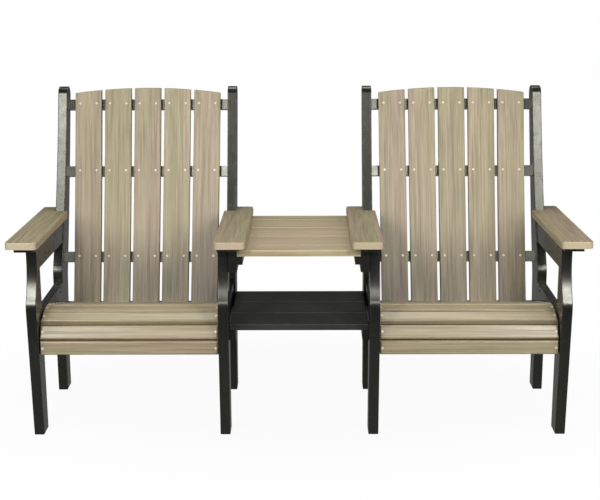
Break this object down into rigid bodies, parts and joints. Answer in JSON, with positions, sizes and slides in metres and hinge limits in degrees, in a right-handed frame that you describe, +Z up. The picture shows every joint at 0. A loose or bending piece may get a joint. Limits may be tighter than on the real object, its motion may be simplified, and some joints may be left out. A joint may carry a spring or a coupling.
{
  "type": "companion seat bench",
  "caption": "Patio seat for a pair: slatted high-back armchairs joined side by side by a small slatted table with a shelf under it.",
  "frame": {"origin": "on the floor, in the middle of the bench's length and depth", "axes": "+X along the bench to the right as seen from the front, +Y from the front to the back, +Z up"},
  "size_m": [1.956, 0.8156, 1.114],
  "materials": {
    "frame_black": "satin",
    "shelf_black": "satin, woodgrain texture",
    "board_taupe": "satin, woodgrain texture",
    "screw_pale": "satin",
    "screw_dark": "satin"
  },
  "bodies": {
    "root": {"right_outer_front_leg": "frame_black", "right_outer_back_post": "frame_black", "right_outer_arm_rail": "frame_black", "right_outer_seat_rail": "frame_black", "right_outer_arm_cleat": "frame_black", "right_outer_armrest": "board_taupe", "right_chair_outer_seat_support": "frame_black", "right_inner_front_leg": "frame_black", "right_inner_back_post": "frame_black", "right_inner_arm_rail": "frame_black", "right_inner_seat_rail": "frame_black", "right_inner_arm_cleat": "frame_black", "right_inner_armrest": "board_taupe", "right_chair_inner_seat_support": "frame_black", "right_chair_seat_front_boards": "board_taupe", "right_chair_seat_boards": "board_taupe", "right_chair_back_slat_1": "board_taupe", "right_chair_back_slat_2": "board_taupe", "right_chair_back_slat_3": "board_taupe", "right_chair_back_slat_4": "board_taupe", "right_chair_back_slat_5": "board_taupe", "right_chair_top_back_rail": "frame_black", "right_chair_middle_back_rail": "frame_black", "right_chair_lower_back_rail": "frame_black", "right_chair_seat_cross_rails": "frame_black", "right_table_support": "frame_black", "right_table_ledger": "frame_black", "right_shelf_ledger": "frame_black", "left_outer_front_leg": "frame_black", "left_outer_back_post": "frame_black", "left_outer_arm_rail": "frame_black", "left_outer_seat_rail": "frame_black", "left_outer_arm_cleat": "frame_black", "left_outer_armrest": "board_taupe", "left_chair_outer_seat_support": "frame_black", "left_inner_front_leg": "frame_black", "left_inner_back_post": "frame_black", "left_inner_arm_rail": "frame_black", "left_inner_seat_rail": "frame_black", "left_inner_arm_cleat": "frame_black", "left_inner_armrest": "board_taupe", "left_chair_inner_seat_support": "frame_black", "left_chair_seat_front_boards": "board_taupe", "left_chair_seat_boards": "board_taupe", "left_chair_back_slat_1": "board_taupe", "left_chair_back_slat_2": "board_taupe", "left_chair_back_slat_3": "board_taupe", "left_chair_back_slat_4": "board_taupe", "left_chair_back_slat_5": "board_taupe", "left_chair_top_back_rail": "frame_black", "left_chair_middle_back_rail": "frame_black", "left_chair_lower_back_rail": "frame_black", "left_chair_seat_cross_rails": "frame_black", "left_table_support": "frame_black", "left_table_ledger": "frame_black", "left_shelf_ledger": "frame_black", "table_boards": "board_taupe", "shelf_boards": "shelf_black", "board_screws": "screw_pale", "frame_screws": "screw_dark"}
  },
  "joints": []
}
